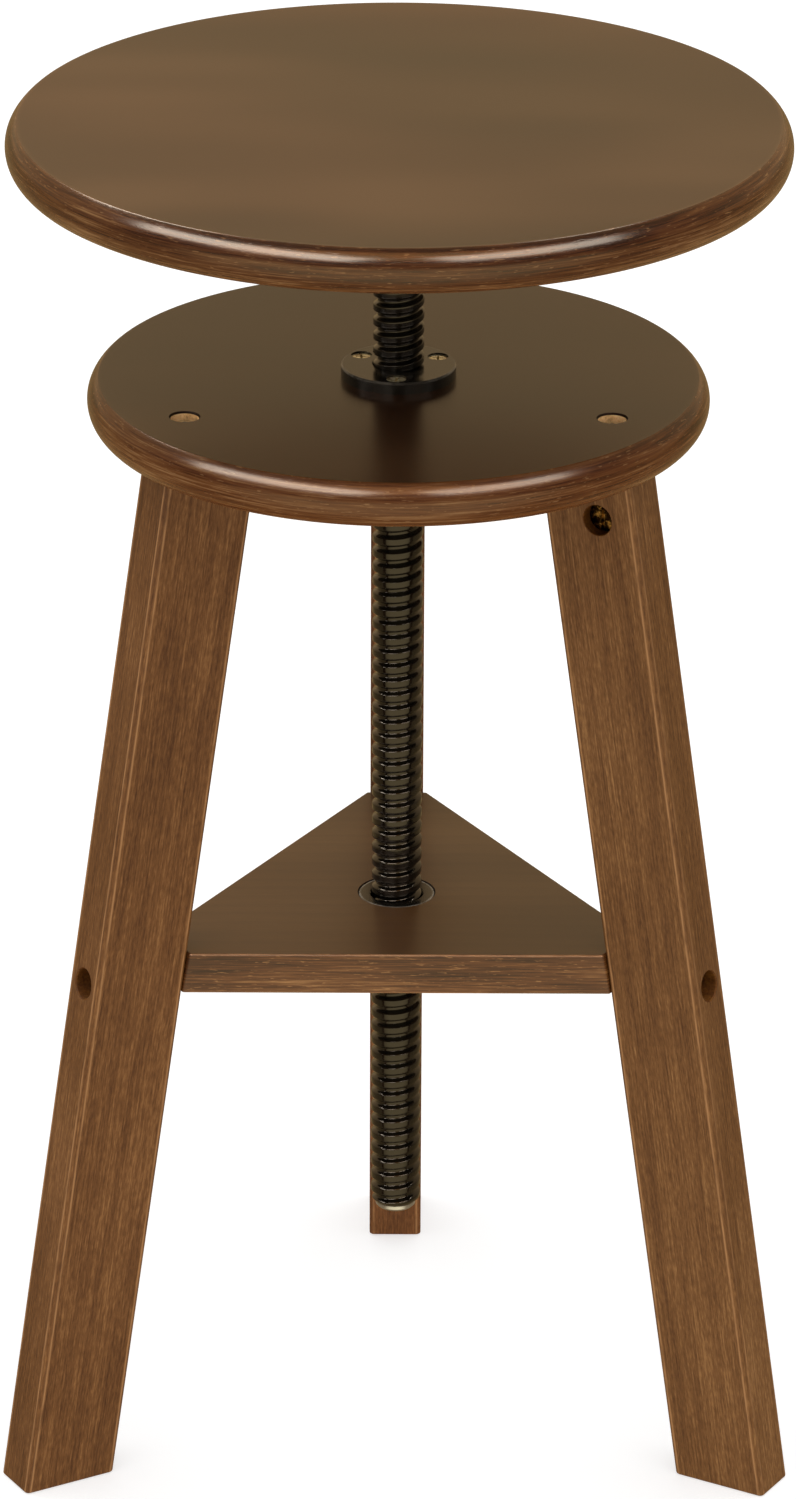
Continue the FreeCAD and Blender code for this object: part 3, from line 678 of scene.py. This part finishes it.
def tangent(degrees):
    angle = math.radians(degrees)
    return Vector((-math.sin(angle), math.cos(angle)))


def leg_levels(height):
    """(height, how far the section is drawn in) from the foot to the top."""
    levels = []
    for step in range(4):
        angle = math.radians(90 * step / 3)
        levels.append((FOOT_ROUNDING * (1 - math.cos(angle)), FOOT_ROUNDING * (1 - math.sin(angle))))
    spans = 6
    for step in range(1, spans + 1):
        levels.append((FOOT_ROUNDING + (height - FOOT_ROUNDING) * step / spans, 0.0))
    return levels


def leg_mesh(thickness, height, outer_at_floor):
    """A leaning plank on the +X side of the axis."""
    section = leg_section(LEG_WIDTH, thickness)
    count = len(section)
    vertices, faces = [], []
    for z, inset in leg_levels(height):
        centre = outer_at_floor - LEG_WIDTH / 2 - LEG_LEAN * z
        for across, through in section:
            x = across * (1 - 2 * inset / LEG_WIDTH)
            y = through * (1 - 2 * inset / thickness)
            vertices.append((centre + x, y, z))
    rings = len(vertices) // count
    for ring in range(rings - 1):
        for k in range(count):
            low, high = ring * count, (ring + 1) * count
            faces.append([low + k, low + (k + 1) % count, high + (k + 1) % count, high + k])
    faces.append(list(range(count))[::-1])
    faces.append([(rings - 1) * count + k for k in range(count)])
    return vertices, faces


def build_leg(side, angle, grain_offset, wide_wear, narrow_wear, stain_and_painted_shade=0.0):
    """One leg, made along +X to the rear leg's sizes and then turned to its own angle."""
    leg_low, leg_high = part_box("leg_rear")
    thickness = leg_high.x - leg_low.x
    height = leg_high.z
    outer_at_floor = leg_high.y
    leg = add_object(f"leg_{side}_plank", *leg_mesh(thickness, height, outer_at_floor))
    leg.data.materials.append(materials["leg_wood"])

    shelf_low, shelf_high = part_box("shelf")
    shelf_middle = (shelf_low.z + shelf_high.z) / 2
    outer_face_x = outer_at_floor - LEG_LEAN * shelf_middle
    inward = Vector((-1, 0, 0))
    square_to_face = Vector((-1, 0, -LEG_LEAN)).normalized()
    bolt_radius, bolt_depth = SHELF_BOLT_COUNTERBORE
    nut_radius, nut_depth = LEG_NUT_HOLE
    at_bolt = Vector((outer_face_x, 0, shelf_middle))
    at_nut = Vector((LEG_BOLT_CIRCLE, -thickness / 2, LEG_NUT_Z))
    # The legs' holes get the darker lining, painted shade deep inside them.
    stain_and_shade_walls = ("hole_stain_and_shade", "hole_stain_and_shade")
    carve(leg, [
        drill(bolt_radius, bolt_depth, at_bolt, inward, *stain_and_shade_walls),
        drill(bolt_radius, 2 * HOLE_RIM, at_bolt, square_to_face, *stain_and_shade_walls, rim=HOLE_RIM),
        drill(nut_radius, nut_depth, at_nut, Vector((0, 1, 0)), *stain_and_shade_walls, rim=0.5 * HOLE_RIM),
    ])

    half_width = LEG_WIDTH / 2
    half_thickness = thickness / 2

    def plank_place(point):
        across = point.x - (outer_at_floor - half_width - LEG_LEAN * point.z)
        return across, point.y

    def grain_of(point):
        across, through = plank_place(point)
        return across + grain_offset, through + 0.3 * grain_offset, point.z + 3 * grain_offset

    def wear_of(point):
        across, through = plank_place(point)
        from_edge, from_face = half_width - abs(across), half_thickness - abs(through)
        wide_line = 1.2 - (abs(from_edge - LEG_EDGE_ROUNDING) + abs(from_face)) / WORN_LINE_WIDTH
        narrow_line = 1.2 - (abs(from_edge) + abs(from_face - LEG_EDGE_ROUNDING)) / WORN_LINE_WIDTH
        return max(wide_wear * wide_line, narrow_wear * narrow_line)

    paint(leg, grain_of, wear_of, lambda point: (stain_and_painted_shade, 0.0))
    leg.data.transform(Matrix.Rotation(math.radians(angle), 4, "Z"))
    smooth(leg)
    fit(leg, "base", "leg_wood", f"leg_{side}")


# ---- shelf ---------------------------------------------------------------------------------------
def shelf_corners(z, inner_at_floor):
    """The shelf's outline at a height: three long sides, and three ends against the legs."""
    corners = []
    end_distance = inner_at_floor - LEG_LEAN * z
    sixty = math.radians(60)
    half_end = (SHELF_APOTHEM - end_distance * math.cos(sixty)) / math.sin(sixty)
    for angle in sorted(LEG_ANGLES.values()):
        middle = on_circle(end_distance, angle, z)
        along = on_circle(half_end, angle + 90, 0)
        corners += [middle - along, middle + along]
    return corners


def build_shelf():
    low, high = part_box("shelf")
    leg_low, leg_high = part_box("leg_rear")
    inner_at_floor = leg_high.y - LEG_WIDTH
    lower = shelf_corners(low.z, inner_at_floor)
    upper = shelf_corners(high.z, inner_at_floor)
    count = len(lower)
    faces = [list(range(count))[::-1], list(range(count, 2 * count))]
    for k in range(count):
        following = (k + 1) % count
        faces.append([k, following, count + following, count + k])
    board = add_object("shelf_board", lower + upper, faces)
    board.data.materials.append(materials["shelf_wood"])
    shape = bmesh.new()
    shape.from_mesh(board.data)
    bmesh.ops.bevel(
        shape, geom=shape.edges[:], offset=SHELF_EDGE_ROUNDING, segments=5, profile=0.5, affect="EDGES"
    )
    shape.to_mesh(board.data)
    shape.free()

    radius, depth = BUSH_SEAT
    down, up = Vector((0, 0, -1)), Vector((0, 0, 1))
    # The bush's seat and the hole through the shelf are lined with painted shade.
    dark = ("painted_gap_shade", "painted_gap_shade")
    cutters = [
        drill(radius, depth, Vector((0, 0, high.z)), down, *dark, rim=0.6 * HOLE_RIM, segments=96),
        drill(BUSH_BODY_HOLE_RADIUS, high.z - low.z, Vector((0, 0, low.z)), up, *dark, segments=96),
    ]
    for angle in LEG_ANGLES.values():
        start = on_circle(SHELF_NUT_CIRCLE, angle, low.z)
        hole_depth = high.z - low.z - SHELF_NUT_HOLE_TOP
        cutters.append(
            drill(SHELF_NUT_HOLE_RADIUS, hole_depth, start, up, "raw_wood", "hole_stain_and_shade", rim=HOLE_RIM)
        )
    carve(board, cutters)

    def wear_of(point):
        outward = max(
            point.dot(on_circle(1.0, angle + 180, 0)) - SHELF_APOTHEM for angle in LEG_ANGLES.values()
        )
        up_gap = min(abs(point.z - high.z), abs(point.z - low.z))
        return 1.3 - math.hypot(outward, up_gap) / (0.75 * MM)

    def side_of(point):
        below_top = (high.z - point.z) / (high.z - low.z)
        beyond_holes = math.hypot(point.x, point.y) > SHELF_APOTHEM - 2 * MM
        on_side = beyond_holes and 1e-4 < below_top < 1 - 1e-4
        return (1.0 if on_side else 0.0), below_top

    paint(board, along_x(0.37), wear_of, side_of)
    smooth(board)
    fit(board, "base", "shelf_wood", "shelf")


# ---- lead screw ----------------------------------------------------------------------------------
def thread_profile():
    """(height above a groove's middle, share of the thread's depth) over one pitch."""
    crest_half, foot_half, flank_steps = 1.15 * MM, 2.70 * MM, 6
    flank = []
    for step in range(flank_steps + 1):
        share = step / flank_steps
        offset = foot_half - (foot_half - crest_half) * share
        flank.append((offset, 0.5 - 0.5 * math.cos(math.pi * share)))
    middle = THREAD_PITCH / 2
    rising = [(middle - offset, depth) for offset, depth in flank]
    falling = [(middle + offset, depth) for offset, depth in reversed(flank)]
    crest = [(middle - crest_half / 2, 1.0), (middle + crest_half / 2, 1.0)]
    return [(0.0, 0.0)] + rising + crest + falling


def thread_mesh(crest_radius, low, high, chamfer_start):
    """The thread as a helical grid, right-handed, from one groove to the next."""
    steps_per_turn = 56
    profile = thread_profile()
    width = len(profile)
    depth = crest_radius - SCREW_ROOT_RADIUS
    first = math.floor(low / THREAD_PITCH) - 1
    last = math.ceil(high / THREAD_PITCH) + 1
    steps = (last - first) * steps_per_turn
    vertices, faces = [], []
    for step in range(steps + 1):
        angle = 2 * math.pi * step / steps_per_turn
        for above_groove, share in profile:
            z = THREAD_PITCH * (first + step / steps_per_turn) + above_groove
            radius = min(SCREW_ROOT_RADIUS + depth * share, chamfer_start + max(0.0, z - low))
            vertices.append((radius * math.cos(angle), radius * math.sin(angle), z))
    for step in range(steps):
        for point in range(width):
            here = step * width + point
            ahead = here + width
            if point + 1 < width:
                above, above_ahead = here + 1, ahead + 1
            else:
                above = (step + steps_per_turn) * width
                above_ahead = above + width
            if above_ahead < len(vertices):
                faces.append([here, ahead, above_ahead, above])
    return vertices, faces


def trim(obj, low, high):
    """Cut the thread off square at two heights and close its ends."""
    shape = bmesh.new()
    shape.from_mesh(obj.data)
    for height, outward in ((low, -1), (high, 1)):
        everything = shape.verts[:] + shape.edges[:] + shape.faces[:]
        bmesh.ops.bisect_plane(
            shape, geom=everything, dist=1e-7, plane_co=(0, 0, height),
            plane_no=(0, 0, outward), clear_outer=True,
        )
        rim = [
            edge for edge in shape.edges
            if edge.is_boundary and all(abs(vertex.co.z - height) < 1e-6 for vertex in edge.verts)
        ]
        bmesh.ops.contextual_create(shape, geom=rim)
    bmesh.ops.recalc_face_normals(shape, faces=shape.faces[:])
    shape.to_mesh(obj.data)
    shape.free()


def build_screw():
    low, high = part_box("lead_screw")
    thread_low = low.z + SCREW_POINT_LENGTH
    screw = add_object("lead_screw_thread", *thread_mesh(
        high.x, thread_low, SCREW_THREAD_TOP, SCREW_ROOT_RADIUS
    ))
    trim(screw, thread_low, SCREW_THREAD_TOP)
    screw.data.materials.append(materials["black_screw"])
    smooth(screw, angle=60)
    fit(screw, "seat", "screw_steel", "lead_screw")

    bevel = SCREW_POINT_BEVEL
    point_outline = [
        (0, low.z),
        (SCREW_POINT_RADIUS - bevel, low.z),
        (SCREW_POINT_RADIUS, low.z + bevel),
        (SCREW_POINT_RADIUS, thread_low),
        (0, thread_low),
    ]
    point = add_object("lead_screw_point", *lathe(point_outline, 96))
    point.data.materials.append(materials["bare_steel"])
    smooth(point)
    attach(point, "seat")

    neck_outline = [
        (0, SCREW_THREAD_TOP),
        (SCREW_NECK_RADIUS, SCREW_THREAD_TOP),
        (SCREW_NECK_RADIUS, high.z),
        (0, high.z),
    ]
    neck = add_object("lead_screw_neck", *lathe(neck_outline, 96))
    neck.data.materials.append(materials["bare_steel"])
    smooth(neck)
    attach(neck, "seat")


# ---- finishes of the CAD nodes that stay ---------------------------------------------------------
def finish_cad_nodes():
    """Give each CAD node that is still shown the first finish whose key starts its name."""
    finish_of = {
        "seat_plate_screw": "bright_zinc",
        "seat_plate": "plate_steel",
        "slip_washer": "washer_nylon",
        "flange_nut": "flange_iron",
        "flange_screw": "yellow_zinc",
        "guide_bush": "bush_iron",
        "leg_bolt": "bright_zinc",
        "leg_barrel_nut": "brass_nut",
        "leg_dowel": "dowel_wood",
        "shelf_bolt": "bright_zinc",
        "shelf_barrel_nut": "brass_nut",
    }
    for name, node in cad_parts.items():
        for start, material in finish_of.items():
            if name.startswith(start) and not node.hide_render:
                node.data.materials.clear()
                node.data.materials.append(materials[material])
                break


# ---- studio --------------------------------------------------------------------------------------
FLOOR_RADIUS = 14.0
ROOM_LIGHT = (0.75, 0.75, 0.75)
ROOM_FRONT = (0.12, 0.10, 0.07)
ROOM_BACK = (0.64, 0.44, 0.23)
ROOM_FLOOR_FRONT = (1.45, 1.12, 0.58)
ROOM_FLOOR_BACK = (0.34, 0.23, 0.10)
FLOOR_GAP = 0.2 * MM
CAMERA_PLACE = Vector((-1.8, -3112.9, 1622.0)) * MM
CAMERA_PITCH_DOWN = 23.04
CAMERA_YAW = -0.04
CAMERA_ROLL = 0.226
CAMERA_LENS = 194.14
CAMERA_SENSOR = 36.0


def build_floor():
    """A plain pale floor, a hair below the feet."""
    floor = add_object("studio_floor", *lathe([(0, -FLOOR_GAP), (FLOOR_RADIUS, -FLOOR_GAP)], 64))
    shader = material_shader("studio_floor")
    cloud = shader.noise(shader.place(), detail=2, scale=0.6)
    colour = shader.ramp(cloud, [(0.3, (0.50, 0.50, 0.50)), (0.7, (0.52, 0.52, 0.52))])
    glow = {"Emission_Color": (1.0, 1.0, 1.0), "Emission_Strength": 0.60}
    floor.data.materials.append(shader.finish(colour, 0.9, Specular_IOR_Level=0.1, **glow))
    floor.visible_glossy = False


def build_world():
    """A soft even surround, pale where it is seen, and a darker warm room in reflections."""
    world = bpy.data.worlds.new("studio")
    bpy.context.scene.world = world
    room = Shader(world)
    direction = room.nodes.new("ShaderNodeTexCoord").outputs["Generated"]
    right, back, up = room.parts(direction)
    behind = room.between(back, -0.35, 0.65)
    above = room.between(up, -0.06, 0.06)
    walls = room.mix(behind, ROOM_FRONT, ROOM_BACK)
    beside = room.between(back, -0.85, -0.25)
    ground = room.mix(beside, ROOM_FLOOR_FRONT, ROOM_FLOOR_BACK)
    reflected = room.mix(above, ground, walls)
    path = room.nodes.new("ShaderNodeLightPath")
    colour = room.mix(path.outputs["Is Glossy Ray"], ROOM_LIGHT, reflected)
    colour = room.mix(path.outputs["Is Camera Ray"], colour, (1.0, 1.0, 1.0))
    room.links.new(colour, room.nodes["Background"].inputs["Color"])


def softbox(name, azimuth, elevation, distance, width, height, power, colour):
    """A rectangular soft light aimed at the stool's middle.  Azimuth 0 is in front."""
    target = Vector((0, 0, 0.35))
    turn, lift = math.radians(azimuth), math.radians(elevation)
    away = Vector((math.sin(turn) * math.cos(lift), -math.cos(turn) * math.cos(lift), math.sin(lift)))
    light = bpy.data.lights.new(name, "AREA")
    light.shape = "RECTANGLE"
    light.size = width
    light.size_y = height
    light.energy = power
    light.color = colour
    lamp = bpy.data.objects.new(name, light)
    lamp.location = target + away * distance
    lamp.rotation_mode = "QUATERNION"
    lamp.rotation_quaternion = away.to_track_quat("Z", "Y")
    lamp.visible_camera = False
    lamp.visible_diffuse = False
    bpy.context.scene.collection.objects.link(lamp)


def build_lights():
    """Light from above for the surfaces, and cards for the highlights.

    The front cards stay above 30 degrees, where the platform's top can't mirror them onto
    the upright faces of the flange and the screw.
    """
    softbox("card_left", -48, 40, 2.3, 2.6, 0.75, 74, CARD_COLOUR)
    softbox("card_right", 41, 40, 2.3, 1.9, 0.75, 42, CARD_COLOUR)
    softbox("glow_front", -3, 49, 2.4, 4.2, 1.1, 36, GLOW_COLOUR)
    softbox("back_left", -130, 54, 2.3, 0.9, 0.9, 40, CARD_COLOUR)
    softbox("back_right", 125, 65, 2.3, 0.6, 0.6, 16, CARD_COLOUR)
    sun = bpy.data.lights.new("overhead", "SUN")
    sun.energy = 1.25
    sun.angle = math.radians(60)
    lamp = bpy.data.objects.new("overhead", sun)
    lamp.visible_glossy = False
    bpy.context.scene.collection.objects.link(lamp)


def build_camera():
    """A long lens in front of the stool, looking down on it."""
    data = bpy.data.cameras.new("camera")
    data.lens = CAMERA_LENS
    data.sensor_width = CAMERA_SENSOR
    camera = bpy.data.objects.new("camera", data)
    yaw = Matrix.Rotation(math.radians(CAMERA_YAW), 4, "Z")
    pitch = Matrix.Rotation(math.radians(90 - CAMERA_PITCH_DOWN), 4, "X")
    roll = Matrix.Rotation(math.radians(CAMERA_ROLL), 4, "Z")
    camera.matrix_world = Matrix.Translation(CAMERA_PLACE) @ yaw @ pitch @ roll
    bpy.context.scene.collection.objects.link(camera)
    bpy.context.scene.camera = camera


# ---- the whole scene -----------------------------------------------------------------------------
materials = make_materials()
build_seat()
build_platform()
# The rear leg's darkening is painted shade, the left leg's a deeper stain.
build_leg("rear", LEG_ANGLES["rear"], grain_offset=0.09, wide_wear=0.6, narrow_wear=0.6, stain_and_painted_shade=0.8)
build_leg("left", LEG_ANGLES["left"], grain_offset=0.26, wide_wear=0.8, narrow_wear=0.9, stain_and_painted_shade=0.3)
build_leg("right", LEG_ANGLES["right"], grain_offset=0.43, wide_wear=1.0, narrow_wear=0.3)
build_shelf()
build_screw()
finish_cad_nodes()
build_floor()
build_world()
build_lights()
build_camera()
bpy.context.scene.view_settings.view_transform = "Standard"
